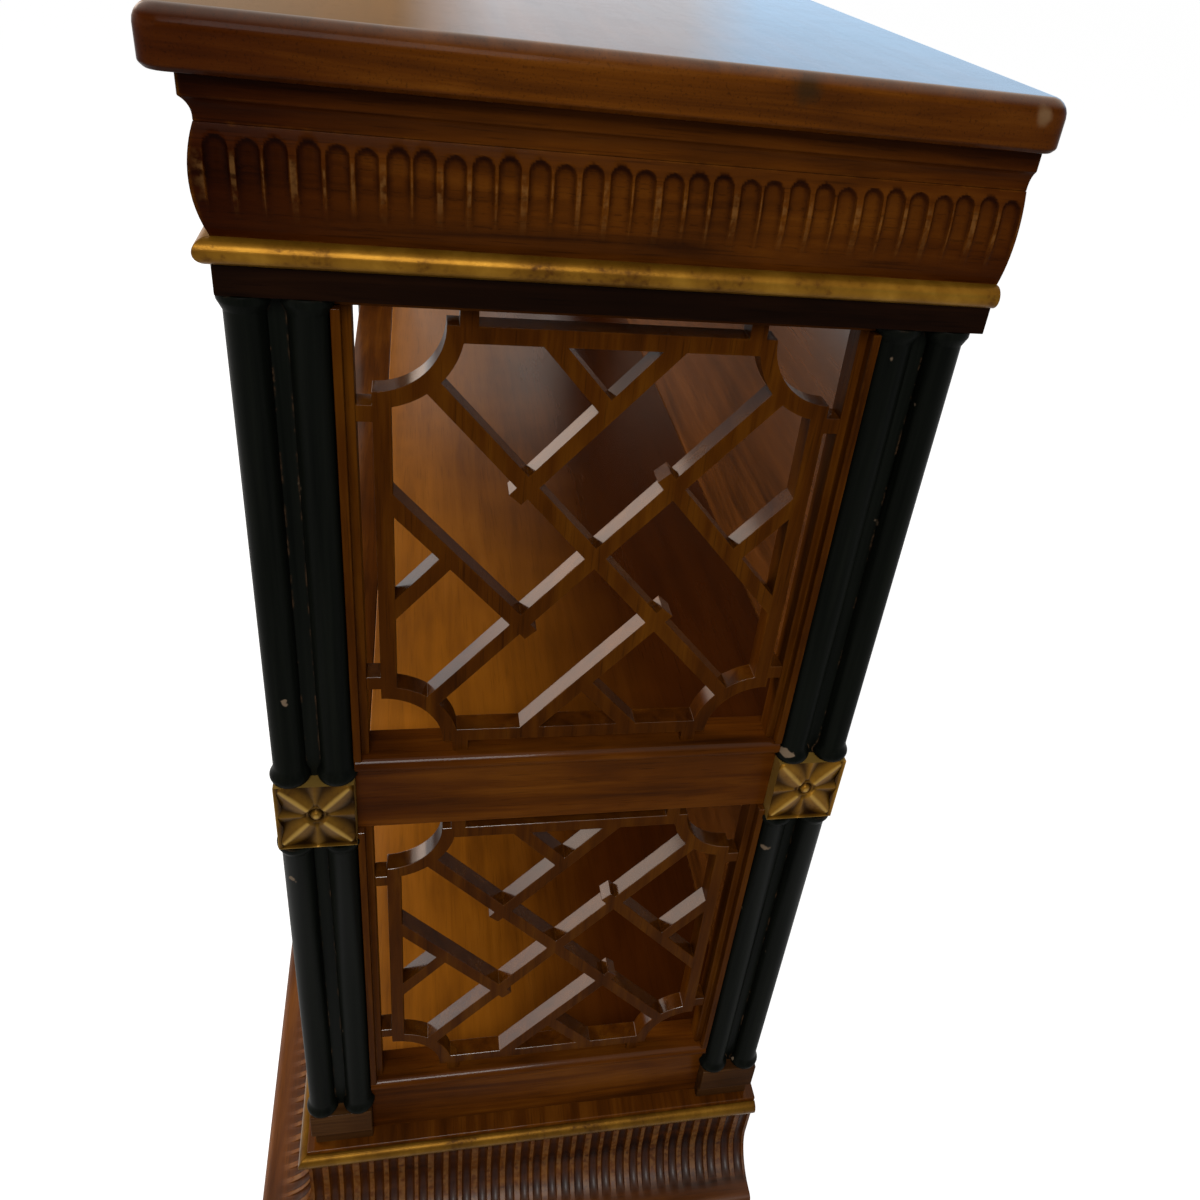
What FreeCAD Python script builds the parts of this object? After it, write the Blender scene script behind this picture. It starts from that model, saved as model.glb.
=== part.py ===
# Chinese book cabinet with open fretwork ends, in millimetres.
# X runs along the cabinet, the open front faces -Y, the closed back faces +Y and Z points up.
# The origin lies on the floor, under the middle of the cabinet's whole outline.
import FreeCAD, Part
import math
import operator
import os
import Sketcher
from types import SimpleNamespace

# Driving sizes. Reach and overhang run outward from the outer faces of the posts, inset runs inward.
SIZES = {
    # The cabinet over its post faces
    "cabinet_length": 1203,
    "end_width": 405,
    "back_reach": 6,
    # Corner posts, from the ledge upwards
    "post_width": 52,
    "foot_block_height": 46,
    "lower_column_height": 340,
    "rosette_block_height": 58,
    "upper_column_height": 335,
    "foot_rebate": 3,
    "foot_rebate_height": 16,
    # The four turned shafts of a column
    "shaft_radius": 10.5,
    "shaft_inset": 0.3,
    "column_tenon_width": 16,
    "column_tenon_length": 8,
    "joint_clearance": 0.2,
    # Rails across the ends
    "rail_inset": 11.5,
    "rail_thickness": 26,
    "rail_bead_radius": 6,
    "bottom_rail_height": 77,
    "mid_rail_height": 68,
    "mid_rail_lift": 5,
    "rail_tenon_thickness": 12,
    "rail_tenon_height": 26,
    "rail_tenon_length": 10,
    # Fretwork and the upright strips beside it
    "fret_inset": 13.5,
    "fret_thickness": 15,
    "fret_bar": 10,
    "fret_slot": 8.8,
    "fret_corner_radius": 39.6,
    "fret_nub": 6,
    "strip_width": 10,
    "strip_step": 5,
    "strip_inset": 5.5,
    "strip_depth": 24,
    # Boards and rails inside
    "board_thickness": 20,
    "board_housing": 5,
    "shelf_drop": 5,
    "bottom_board_drop": 20,
    "front_rail_inset": 16,
    "shelf_rail_height": 40,
    "shelf_rail_depth": 44,
    "bottom_rail_depth": 20,
    "front_tenon_setback": 4,
    "back_panel_thickness": 6,
    "back_panel_rebate": 8,
    # Core frame under the slab
    "core_inset": 12,
    "core_thickness": 24,
    "back_thickness": 22,
    "tongue_height": 6,
    "glue_block_length": 50,
    "glue_block_width": 20,
    # Mouldings under the slab
    "fascia_height": 16,
    "fascia_reach": 1,
    "upper_bead_radius": 6.5,
    "upper_bead_seat": 1.2,
    "frieze_height": 51,
    "frieze_foot_reach": 0,
    "frieze_head_reach": 1.5,
    "frieze_radius": 72,
    "cornice_foot_reach": 1.5,
    "cornice_foot_height": 2,
    "cornice_flare": 4.5,
    "cornice_rise": 9,
    "cornice_edge": 11,
    # Slab
    "slab_thickness": 26,
    "slab_overhang": 19.5,
    "slab_back_overhang": 4,
    "slab_corner_radius": 12,
    "slab_top_radius": 9,
    "slab_foot_chamfer": 2.5,
    # Base
    "base_overhang": 4.5,
    "base_board_thickness": 19,
    "base_bead_radius": 7.5,
    "cove_straight": 40,
    "cove_radius": 38,
    "cove_inset": 18,
    "cove_back_height": 45,
    "cove_foot_width": 32,
    "nose_flat": 3,
    "nose_radius": 6,
    "plinth_height": 30,
    "plinth_thickness": 22,
    # Extra length that a mitre cut covers on each side of its corner
    "mitre_reach": 70,
}

# Where the slanting bars of the lattice meet the ring, as a share of the ring's half width and height
LATTICE_SHARE = 0.7
# Where the short stubs join the ring to the opening, as shares of its half width and half height
STUB_ACROSS_SHARE = 0.634
STUB_UP_SHARE = 0.667
# Glue blocks along half of the core frame
GLUE_BLOCK_SHARES = (-0.75, -0.25, 0.25, 0.75)

ARITHMETIC = {"+": operator.add, "-": operator.sub, "*": operator.mul, "/": operator.truediv}


class Size:
    """A length in two forms: its value now, and the formula on the sheet that it is bound by."""

    def __init__(self, value, text):
        self.value = value
        self.text = text

    def __add__(self, other):
        return combine(self, "+", other)

    def __sub__(self, other):
        return combine(self, "-", other)

    def __mul__(self, other):
        return combine(self, "*", other)

    def __rmul__(self, other):
        return combine(other, "*", self)

    def __truediv__(self, other):
        return combine(self, "/", other)

    def __neg__(self):
        return Size(-self.value, f"-({self.text})")


def as_size(number):
    """A plain number as a size, so that zero and shares can stand in a formula."""
    return number if isinstance(number, Size) else Size(number, str(number))


def combine(left, sign, right):
    """Two sizes joined by one sign of arithmetic."""
    left, right = as_size(left), as_size(right)
    return Size(ARITHMETIC[sign](left.value, right.value), f"({left.text} {sign} {right.text})")


def root(size):
    """Square root of a squared size."""
    return Size(math.sqrt(size.value), f"sqrt({size.text})")


doc = FreeCAD.newDocument("BookCabinet")
sheet = doc.addObject("Spreadsheet::Sheet", "Sizes")
for row, (alias, value) in enumerate(SIZES.items(), start=1):
    sheet.set(f"A{row}", str(value))
    sheet.setAlias(f"A{row}", alias)
doc.recompute()
s = SimpleNamespace(**{alias: Size(value, f"Sizes.{alias}") for alias, value in SIZES.items()})

# Levels, from the floor up
cove_height = s.cove_straight + s.cove_radius + s.nose_radius * 2
base_board_bottom = s.plinth_height + cove_height
ledge = base_board_bottom + s.base_board_thickness
foot_top = ledge + s.foot_block_height
rosette_bottom = foot_top + s.lower_column_height
rosette_top = rosette_bottom + s.rosette_block_height
post_top = rosette_top + s.upper_column_height
fascia_top = post_top + s.fascia_height
upper_bead_top = fascia_top + s.upper_bead_radius * 2
cornice_bottom = upper_bead_top + s.frieze_height
slab_bottom = cornice_bottom + s.cornice_foot_height + s.cornice_rise + s.cornice_edge
slab_top = slab_bottom + s.slab_thickness
bottom_rail_top = ledge + s.bottom_rail_height
mid_rail_bottom = rosette_bottom + s.mid_rail_lift
mid_rail_top = mid_rail_bottom + s.mid_rail_height
tongue_bottom = post_top - s.tongue_height
shelf_top = rosette_top - s.shelf_drop
bottom_board_top = bottom_rail_top - s.bottom_board_drop

# Places across the plan
half_length = s.cabinet_length / 2
half_width = s.end_width / 2
post_inner_x = half_length - s.post_width
post_inner_y = half_width - s.post_width
flush_back = half_width + s.back_reach
back_inner_y = flush_back - s.back_thickness
core_outer_x = half_length - s.core_inset
core_inner_x = core_outer_x - s.core_thickness
core_front_y = half_width - s.core_inset
core_front_inner_y = core_front_y - s.core_thickness
front_rail_y = half_width - s.front_rail_inset
plinth_reach = s.base_overhang + s.cove_radius + s.nose_flat
nose_end = plinth_reach + s.nose_radius
# The base flares in front only, so the middle of the posts lies behind the middle of the outline
middle_of_posts = (half_width + nose_end - flush_back - s.slab_back_overhang) / 2

CORNERS = {
    "front_left": (-1, -1),
    "front_right": (1, -1),
    "back_left": (-1, 1),
    "back_right": (1, 1),
}
ENDS = {"left": -1, "right": 1}
nodes = {}


def keep(label, piece):
    """Name a finished piece of the cabinet."""
    piece.Label = label
    nodes[label] = piece
    return piece


def bind(piece, prop, size):
    """Bind one property of a document object to the sheet."""
    piece.setExpression(prop, as_size(size).text)


def place(piece, x, y, z):
    """Bind the place of a piece, given from the middle of the four posts."""
    for axis, size in zip("xyz", (x, middle_of_posts + y, z)):
        bind(piece, f"Placement.Base.{axis}", size)


def span(sign, near, far):
    """The low and high ends of a stretch between two distances from the middle, on one side of it."""
    return (near, far) if sign > 0 else (-far, -near)


def block(name, across, deep, upright):
    """A rectangular block between low and high ends along X, Y and Z."""
    box = doc.addObject("Part::Box", name)
    for prop, (low, high) in zip(("Length", "Width", "Height"), (across, deep, upright)):
        bind(box, prop, high - low)
    place(box, across[0], deep[0], upright[0])
    return box


def joined(name, pieces):
    """Pieces glued into one solid."""
    fuse = doc.addObject("Part::MultiFuse", name)
    fuse.Shapes = pieces
    fuse.Refine = True
    return fuse


def group(name, pieces):
    """Separate solids that share one node."""
    compound = doc.addObject("Part::Compound", name)
    compound.Links = pieces
    return compound


def cut_from(name, piece, tools):
    """A piece with mortises, housings or rebates cut out of it."""
    cut = doc.addObject("Part::Cut", name)
    cut.Base = piece
    cut.Tool = tools[0] if len(tools) == 1 else joined("tools", tools)
    cut.Refine = True
    return cut


def loosened(low, high):
    """A stretch widened by the joint clearance at both ends."""
    return low - s.joint_clearance, high + s.joint_clearance


def plane_of(body, role):
    """One of a body's own origin planes or axes."""
    return next(feature for feature in body.Origin.OriginFeatures if feature.Role == role)


def arc_between(start, end, radius):
    """The shorter arc between two points, turning left for a positive radius and right for a negative one."""
    chord = end - start
    left = FreeCAD.Vector(-chord.y, chord.x, 0).normalize()
    height = math.sqrt(max(radius ** 2 - (chord.Length / 2) ** 2, 0))
    centre = (start + end) / 2 + left * math.copysign(height, radius)
    first, last = (start, end) if radius > 0 else (end, start)
    angles = [math.atan2(point.y - centre.y, point.x - centre.x) for point in (first, last)]
    return Part.ArcOfCircle(Part.Circle(centre, FreeCAD.Vector(0, 0, 1), abs(radius)), *angles)


def draw(sketch, corners):
    """Close one outline of corners (x, y), where (x, y, radius) sets out on an arc to the next corner."""
    corners = [tuple(as_size(size) for size in corner) for corner in corners]
    points = [FreeCAD.Vector(corner[0].value, corner[1].value, 0) for corner in corners]
    edges = []
    for index, corner in enumerate(corners):
        start, end = points[index], points[(index + 1) % len(points)]
        if len(corner) == 3:
            geometry = arc_between(start, end, corner[2].value)
        else:
            geometry = Part.LineSegment(start, end)
        turns_right = len(corner) == 3 and corner[2].value < 0
        edges.append((sketch.addGeometry(geometry, False), (2, 1) if turns_right else (1, 2)))
    for index, corner in enumerate(corners):
        edge, (start, end) = edges[index]
        following, (next_start, _) = edges[(index + 1) % len(edges)]
        sketch.addConstraint(Sketcher.Constraint("Coincident", edge, end, following, next_start))
        for kind, size in (("DistanceX", corner[0]), ("DistanceY", corner[1])):
            held = sketch.addConstraint(Sketcher.Constraint(kind, -1, 1, edge, start, float(size.value)))
            bind(sketch, f"Constraints[{held}]", size)
        if len(corner) == 3:
            radius = corner[2] if corner[2].value > 0 else -corner[2]
            held = sketch.addConstraint(Sketcher.Constraint("Radius", edge, float(radius.value)))
            bind(sketch, f"Constraints[{held}]", radius)


def outline_on(body, role, outlines, offset=()):
    """A sketch on one of the body's own planes, moved by the offset given for x, y and z of the sketch."""
    sketch = body.newObject("Sketcher::SketchObject", "outline")
    sketch.AttachmentSupport = [(plane_of(body, role), "")]
    sketch.MapMode = "FlatFace"
    for axis, size in offset:
        bind(sketch, f"AttachmentOffset.Base.{axis}", size)
    for corners in outlines:
        draw(sketch, corners)
    return sketch


def pad(body, sketch, length):
    """Thicken a sketch into the body."""
    feature = body.newObject("PartDesign::Pad", "pad")
    feature.Profile = sketch
    bind(feature, "Length", length)
    return feature


def rectangle(across, upright):
    """Corners of a rectangle between low and high ends."""
    return [(across[0], upright[0]), (across[1], upright[0]), (across[1], upright[1]), (across[0], upright[1])]


def repeat_round(body, features, count):
    """Repeat features evenly about the body's upright axis."""
    pattern = body.newObject("PartDesign::PolarPattern", "pattern")
    pattern.Originals = features
    pattern.Axis = (plane_of(body, "Z_Axis"), [""])
    pattern.Angle = 360
    pattern.Occurrences = count
    body.Tip = pattern


def run_along(side, level, corners, low, high):
    """A straight length along one side of the cabinet, its outline given outward and up from the post face.

    The body's own X runs along the side, its Y points outward and its Z up."""
    body = doc.addObject("PartDesign::Body", "length")
    sketch = outline_on(body, "YZ_Plane", [corners], [("z", low)])
    pad(body, sketch, high - low)
    turn = {"front": 180, "left": 90, "right": -90}[side]
    body.Placement.Rotation = FreeCAD.Rotation(FreeCAD.Vector(0, 0, 1), turn)
    x = {"front": as_size(0), "left": -half_length, "right": half_length}[side]
    place(body, x, -half_width if side == "front" else as_size(0), level)
    return body


def mitre(body, corner, sign):
    """Cut the end of a length at 45 degrees, so that it meets the next one round the corner post."""
    near, far = (corner - s.mitre_reach) * sign, (corner + s.mitre_reach) * sign
    corners = [(near, -s.mitre_reach), (far, s.mitre_reach), (far, -s.mitre_reach)]
    sketch = outline_on(body, "XY_Plane", [corners])
    pocket = body.newObject("PartDesign::Pocket", "mitre")
    pocket.Profile = sketch
    pocket.Type = "ThroughAll"
    pocket.SideType = "Symmetric"


def moulded_length(side, level, corners):
    """One side's length of a moulding, mitred at the front corners and square at the flush back."""
    corner = half_length if side == "front" else half_width
    low = -flush_back if side == "right" else -(corner + s.mitre_reach)
    high = flush_back if side == "left" else corner + s.mitre_reach
    body = run_along(side, level, corners, low, high)
    if side != "right":
        mitre(body, corner, -1)
    if side != "left":
        mitre(body, corner, 1)
    return body


def moulding(name, level, corners):
    """A moulding round the front and the two ends."""
    for side in ("front", "left", "right"):
        keep(f"{name}_{side}", moulded_length(side, level, corners))


# Base: the plinth that meets the floor, the large hollow moulding, the board above it and its bead
plinth_inner = plinth_reach - s.plinth_thickness
plinth_lengths = [
    moulded_length(side, 0, rectangle((plinth_inner, plinth_reach), (0, s.plinth_height)))
    for side in ("front", "left", "right")
]
back_board_x = half_length - s.cove_inset
low_back_x = half_length + plinth_inner
plinth_back = joined("plinth_back", [
    block("lower", (-low_back_x, low_back_x), (back_inner_y, flush_back), (as_size(0), s.plinth_height)),
    block("upper", (-back_board_x, back_board_x), (back_inner_y, flush_back), (as_size(0), base_board_bottom)),
])
keep("plinth", group("plinth", plinth_lengths + [plinth_back]))

moulding("base_cove", s.plinth_height, [
    (plinth_reach - s.cove_foot_width, 0),
    (plinth_reach, 0, s.nose_radius),
    (nose_end, s.nose_radius, s.nose_radius),
    (plinth_reach, s.nose_radius * 2),
    (s.base_overhang + s.cove_radius, s.nose_radius * 2, -s.cove_radius),
    (s.base_overhang, s.nose_radius * 2 + s.cove_radius),
    (s.base_overhang, cove_height),
    (-s.cove_inset, cove_height),
    (-s.cove_inset, s.cove_back_height),
])

board_x = half_length + s.base_overhang
board_y = (-half_width - s.base_overhang, flush_back)
keep("base_board", block("base_board", (-board_x, board_x), board_y, (base_board_bottom, ledge)))

moulding("base_bead", base_board_bottom, [
    (s.base_overhang, 0, s.base_bead_radius),
    (s.base_overhang + s.base_bead_radius, s.base_bead_radius, s.base_bead_radius),
    (s.base_overhang, s.base_bead_radius * 2),
])


# Corner posts: a foot block, a cluster of shafts, a rosette block and a second cluster
shaft_offset = s.post_width / 2 - s.shaft_inset - s.shaft_radius
post_axis_x = half_length - s.post_width / 2
post_axis_y = half_width - s.post_width / 2
tenon_half = s.column_tenon_width / 2


def column(label, x, y, level, height):
    """Four turned shafts round a square core, with a stub tenon at each end."""
    body = doc.addObject("PartDesign::Body", "column")
    core = (-shaft_offset, shaft_offset)
    pad(body, outline_on(body, "XY_Plane", [rectangle(core, core)]), height)
    tenon = (-tenon_half, tenon_half)
    tenon_sketch = outline_on(body, "XY_Plane", [rectangle(tenon, tenon)], [("z", -s.column_tenon_length)])
    pad(body, tenon_sketch, height + s.column_tenon_length * 2)
    half_section = rectangle((0, s.shaft_radius), (0, height))
    turned = outline_on(body, "XZ_Plane", [half_section], [("x", shaft_offset), ("z", shaft_offset)])
    shaft = body.newObject("PartDesign::Revolution", "shaft")
    shaft.Profile = turned
    shaft.ReferenceAxis = (turned, ["V_Axis"])
    shaft.Angle = 360
    doc.recompute()
    repeat_round(body, [shaft], 4)
    place(body, x, y, level)
    keep(label, body)


def column_mortise(x, y, low, high):
    """The square hole that takes a column's stub tenon."""
    across = loosened(x - tenon_half, x + tenon_half)
    deep = loosened(y - tenon_half, y + tenon_half)
    return block("mortise", across, deep, (low, high))


# The tenons of the rails, seen from the block that takes them
rail_tenon_setback = s.rail_inset + (s.rail_thickness - s.rail_tenon_thickness) / 2
end_tenon_x = (half_length - rail_tenon_setback - s.rail_tenon_thickness, half_length - rail_tenon_setback)
end_tenon_y = (post_inner_y, post_inner_y + s.rail_tenon_length)
front_tenon_x = (post_inner_x, post_inner_x + s.rail_tenon_length)
front_tenon_far = front_rail_y - s.front_tenon_setback
front_tenon_y = (-front_tenon_far, -front_tenon_far + s.rail_tenon_thickness)


def tenon_levels(block_bottom, block_top):
    """Low and high ends of a rail tenon, centred in the height of the block that takes it."""
    middle = (block_bottom + block_top) / 2
    return middle - s.rail_tenon_height / 2, middle + s.rail_tenon_height / 2


def end_tenon(sign_x, sign_y, levels):
    """Tenon of an end rail, which points along Y."""
    return block("tenon", span(sign_x, *end_tenon_x), span(sign_y, *end_tenon_y), levels)


def front_tenon(sign_x, levels):
    """Tenon of a front rail, which points along X."""
    return block("tenon", span(sign_x, *front_tenon_x), front_tenon_y, levels)


def rail_mortises(sign_x, sign_y, levels):
    """The holes that take the end rail and, at the front, the front rail."""
    deeper_y = (end_tenon_y[0], end_tenon_y[1] + s.joint_clearance)
    mortises = [block("mortise", span(sign_x, *loosened(*end_tenon_x)), span(sign_y, *deeper_y), loosened(*levels))]
    if sign_y < 0:
        deeper_x = (front_tenon_x[0], front_tenon_x[1] + s.joint_clearance)
        mortises.append(block("mortise", span(sign_x, *deeper_x), loosened(*front_tenon_y), loosened(*levels)))
    return mortises


foot_levels = tenon_levels(ledge, foot_top)
rosette_levels = tenon_levels(rosette_bottom, rosette_top)
tenon_room = s.column_tenon_length + s.joint_clearance
rebate_top = ledge + s.foot_rebate_height
for corner, (sign_x, sign_y) in CORNERS.items():
    axis_x, axis_y = post_axis_x * sign_x, post_axis_y * sign_y
    post_x = span(sign_x, post_inner_x, half_length)
    post_y = span(sign_y, post_inner_y, half_width)
    foot_x = span(sign_x, post_inner_x, half_length - s.foot_rebate)
    foot_y = span(sign_y, post_inner_y, half_width - s.foot_rebate)

    foot = joined("foot", [
        block("foot", foot_x, foot_y, (ledge, rebate_top)),
        block("head", post_x, post_y, (rebate_top, foot_top)),
    ])
    foot_mortise = column_mortise(axis_x, axis_y, foot_top - tenon_room, foot_top)
    mortises = [foot_mortise] + rail_mortises(sign_x, sign_y, foot_levels)
    keep(f"plinth_block_{corner}", cut_from("block", foot, mortises))

    rosette = block("rosette", post_x, post_y, (rosette_bottom, rosette_top))
    mortises = [
        column_mortise(axis_x, axis_y, rosette_bottom, rosette_bottom + tenon_room),
        column_mortise(axis_x, axis_y, rosette_top - tenon_room, rosette_top),
    ] + rail_mortises(sign_x, sign_y, rosette_levels)
    keep(f"rosette_block_{corner}", cut_from("block", rosette, mortises))

    column(f"lower_column_{corner}", axis_x, axis_y, foot_top, s.lower_column_height)
    column(f"upper_column_{corner}", axis_x, axis_y, rosette_top, s.upper_column_height)


# End rails: plain boards with a bead along the top edge, tenoned into the blocks and housed for a board
rail_back = s.rail_inset + s.rail_thickness
housing_x = (half_length - rail_back, half_length - rail_back + s.board_housing)
rail_y = (-post_inner_y, post_inner_y)


def end_rail(label, end, level, height, levels, board_top):
    """One rail across an end of the cabinet."""
    sign = ENDS[end]
    profile = [
        (-rail_back, 0),
        (-s.rail_inset, 0),
        (-s.rail_inset, height - s.rail_bead_radius * 2, s.rail_bead_radius),
        (s.rail_bead_radius - s.rail_inset, height - s.rail_bead_radius, s.rail_bead_radius),
        (-s.rail_inset, height),
        (-rail_back, height),
    ]
    rail = run_along(end, level, profile, *rail_y)
    tenoned = joined("rail", [rail] + [end_tenon(sign, sign_y, levels) for sign_y in (-1, 1)])
    housing = block("housing", span(sign, *housing_x), rail_y, (board_top - s.board_thickness, board_top))
    keep(label, cut_from("rail", tenoned, [housing]))


for end in ENDS:
    end_rail(f"bottom_rail_{end}", end, ledge, s.bottom_rail_height, foot_levels, bottom_board_top)
    end_rail(f"mid_rail_{end}", end, mid_rail_bottom, s.mid_rail_height, rosette_levels, shelf_top)


# Fretwork: a ring with hollowed corners round a lattice of slanting bars, the same after half a turn
half_bar = s.fret_bar / 2
opening_half = post_inner_y - s.strip_width
ring_across = opening_half - s.fret_slot


def hollow_cornered(across, up, edge, start, radius):
    """Outline of a rectangle whose corners are hollowed round the ring's outer corners.

    The edges lie the given distance inside the ring, and an arc starts that far from its corner."""
    right, top = across - edge, up - edge
    near_x, near_y = across - start, up - start
    return [
        (-near_x, -top),
        (near_x, -top, -radius),
        (right, -near_y),
        (right, near_y, -radius),
        (near_x, top),
        (-near_x, top, -radius),
        (-right, near_y),
        (-right, -near_y, -radius),
    ]


def fret(label, end, bottom, top):
    """One open fretwork panel, which fills an opening between two rails."""
    body = doc.addObject("PartDesign::Body", "fret")
    ring_up = (top - bottom) / 2 - s.fret_slot
    across, up = ring_across - half_bar, ring_up - half_bar
    diagonal = root(across * across + up * up)

    def bar(start, finish, rise, overrun=(0, 0)):
        """A slanting bar between two points given as shares of the ring, rising (1) or falling (-1)."""
        along_x, along_y = across / diagonal, up / diagonal * rise
        corners = []
        for ends, beyond, sides in ((start, -1 * as_size(overrun[0]), (1, -1)), (finish, overrun[1], (-1, 1))):
            for side in sides:
                x = across * ends[0] + along_x * beyond - along_y * half_bar * side
                y = up * ends[1] + along_y * beyond + along_x * half_bar * side
                corners.append((x, y))
        return corners

    def pad_of(outlines):
        return pad(body, outline_on(body, "XY_Plane", outlines), s.fret_thickness)

    inner_radius = s.fret_corner_radius + s.fret_bar
    inner_start = root(inner_radius * inner_radius - s.fret_bar * s.fret_bar)
    pad_of([
        hollow_cornered(ring_across, ring_up, as_size(0), s.fret_corner_radius, s.fret_corner_radius),
        hollow_cornered(ring_across, ring_up, s.fret_bar, inner_start, inner_radius),
    ])
    to_arc = root(ring_across * ring_across + ring_up * ring_up) - s.fret_corner_radius - half_bar
    for rise in (-1, 1):
        pad_of([bar((0, 0), (0, 0), rise, (to_arc, to_arc))])

    far, half, near = LATTICE_SHARE, LATTICE_SHARE / 2, 1 - LATTICE_SHARE
    nub = half_bar + s.fret_nub
    long_bars = pad_of([
        bar((-1, near), (-half, -half), -1, (0, nub)),
        bar((-half, half), (near, 1), 1, (nub, 0)),
    ])
    short_bars = pad_of([
        bar((-near, 1), (0, far), -1),
        bar((-1, -near), (-far, 0), 1),
    ])
    stub_x, stub_y = across * STUB_ACROSS_SHARE, up * STUB_UP_SHARE
    stubs = pad_of(
        [rectangle((x - half_bar, x + half_bar), (up, ring_up + s.fret_slot)) for x in (-stub_x, stub_x)]
        + [rectangle((across, ring_across + s.fret_slot), (y - half_bar, y + half_bar)) for y in (-stub_y, stub_y)]
    )
    doc.recompute()
    repeat_round(body, [long_bars, short_bars, stubs], 2)

    facing_out = FreeCAD.Rotation(FreeCAD.Vector(1, 1, 1), 120)
    half_turn = FreeCAD.Rotation(FreeCAD.Vector(0, 0, 1), 0 if end == "right" else 180)
    body.Placement.Rotation = half_turn * facing_out
    place(body, (half_length - s.fret_inset - s.fret_thickness) * ENDS[end], 0, (bottom + top) / 2)
    keep(label, body)


def fret_strips(label, end, bottom, top):
    """The two stepped strips that close the gaps between a fret and the round shafts."""
    outer = half_length - s.strip_inset
    step = half_length - s.fret_inset
    strips = []
    for sign_y in (-1, 1):
        narrow = span(sign_y, post_inner_y - s.strip_step, post_inner_y)
        wide = span(sign_y, opening_half, post_inner_y)
        strips.append(joined("strip", [
            block("front", span(ENDS[end], step, outer), narrow, (bottom, top)),
            block("back", span(ENDS[end], outer - s.strip_depth, step), wide, (bottom, top)),
        ]))
    keep(label, group("strips", strips))


for end in ENDS:
    for storey, bottom, top in (
        ("lower", bottom_rail_top, mid_rail_bottom),
        ("upper", mid_rail_top, tongue_bottom),
    ):
        fret(f"fret_{storey}_{end}", end, bottom, top)
        fret_strips(f"fret_strips_{storey}_{end}", end, bottom, top)


# Inside: the shelf, the floor of the lower bay, their front edges and the back panel
def board(label, front_y, top):
    """A board between the posts and the back, let into the end rails between the posts."""
    levels = (top - s.board_thickness, top)
    housed_front = -post_inner_y if front_y.value < -post_inner_y.value else front_y
    keep(label, joined("board", [
        block("middle", (-post_inner_x, post_inner_x), (front_y, back_inner_y), levels),
        block("ends", (-housing_x[1], housing_x[1]), (housed_front, post_inner_y), levels),
    ]))


def front_rail(label, depth, bottom, top, levels):
    """A rail between the front posts."""
    deep = (-front_rail_y, depth - front_rail_y)
    pieces = [block("rail", (-post_inner_x, post_inner_x), deep, (bottom, top))]
    pieces += [front_tenon(sign, levels) for sign in (-1, 1)]
    keep(label, joined("rail", pieces))


board("shelf_panel", s.shelf_rail_depth - front_rail_y, shelf_top)
front_rail("shelf_front_rail", s.shelf_rail_depth, shelf_top - s.shelf_rail_height, shelf_top, rosette_levels)
board("bottom_board", s.bottom_rail_depth - front_rail_y, bottom_board_top)
front_rail("bottom_front_rail", s.bottom_rail_depth, ledge, bottom_board_top, foot_levels)

panel_y = (back_inner_y, back_inner_y + s.back_panel_thickness)
panel_top = post_top + s.back_panel_rebate
keep("back_panel", block("panel", (-post_inner_x, post_inner_x), panel_y, (ledge, panel_top)))


# Core frame under the slab: it takes the column tenons, and the mouldings are glued to it
core_levels = (post_top, slab_bottom)
core_x = (-core_outer_x, core_outer_x)
core_room = (post_top, post_top + tenon_room)
front_core_y = (-core_front_y, -core_front_inner_y)

front_mortises = [column_mortise(post_axis_x * sign, -post_axis_y, *core_room) for sign in (-1, 1)]
keep("top_rail_front", cut_from("rail", block("rail", core_x, front_core_y, core_levels), front_mortises))

back_rail = block("rail", core_x, (back_inner_y, flush_back), core_levels)
rebate_x = loosened(-post_inner_x, post_inner_x)
rebate_y = (back_inner_y, panel_y[1] + s.joint_clearance)
rebate = block("rebate", rebate_x, rebate_y, (post_top, panel_top + s.joint_clearance))
keep("top_rail_back", cut_from("rail", back_rail, [rebate]))

for end, sign in ENDS.items():
    core_end_x = span(sign, core_inner_x, core_outer_x)
    rail = joined("rail", [
        block("rail", core_end_x, (-core_front_inner_y, back_inner_y), core_levels),
        block("tongue", core_end_x, rail_y, (tongue_bottom, post_top)),
    ])
    keep(f"top_rail_{end}", cut_from("rail", rail, [column_mortise(post_axis_x * sign, post_axis_y, *core_room)]))

soffit_y = (-core_front_inner_y, back_inner_y)
soffit_levels = (post_top, post_top + s.board_thickness)
keep("soffit_board", block("soffit", (-core_inner_x, core_inner_x), soffit_y, soffit_levels))

glue_blocks = []
for share in GLUE_BLOCK_SHARES:
    middle = core_outer_x * share
    glue_x = (middle - s.glue_block_length / 2, middle + s.glue_block_length / 2)
    for glue_y in (
        (-core_front_inner_y, s.glue_block_width - core_front_inner_y),
        (back_inner_y - s.glue_block_width, back_inner_y),
    ):
        glue_blocks.append(block("glue_block", glue_x, glue_y, (slab_bottom - s.glue_block_width, slab_bottom)))
keep("glue_blocks", group("glue_blocks", glue_blocks))


# Mouldings under the slab, from the fascia up
moulding("fascia", post_top, rectangle((-s.core_inset, s.fascia_reach), (0, s.fascia_height)))

moulding("upper_bead", fascia_top, [
    (-s.core_inset, 0),
    (s.upper_bead_seat, 0, s.upper_bead_radius),
    (s.upper_bead_seat + s.upper_bead_radius, s.upper_bead_radius, s.upper_bead_radius),
    (s.upper_bead_seat, s.upper_bead_radius * 2),
    (-s.core_inset, s.upper_bead_radius * 2),
])

moulding("frieze", upper_bead_top, [
    (-s.core_inset, 0),
    (s.frieze_foot_reach, 0, s.frieze_radius),
    (s.frieze_head_reach, s.frieze_height),
    (-s.core_inset, s.frieze_height),
])

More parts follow.
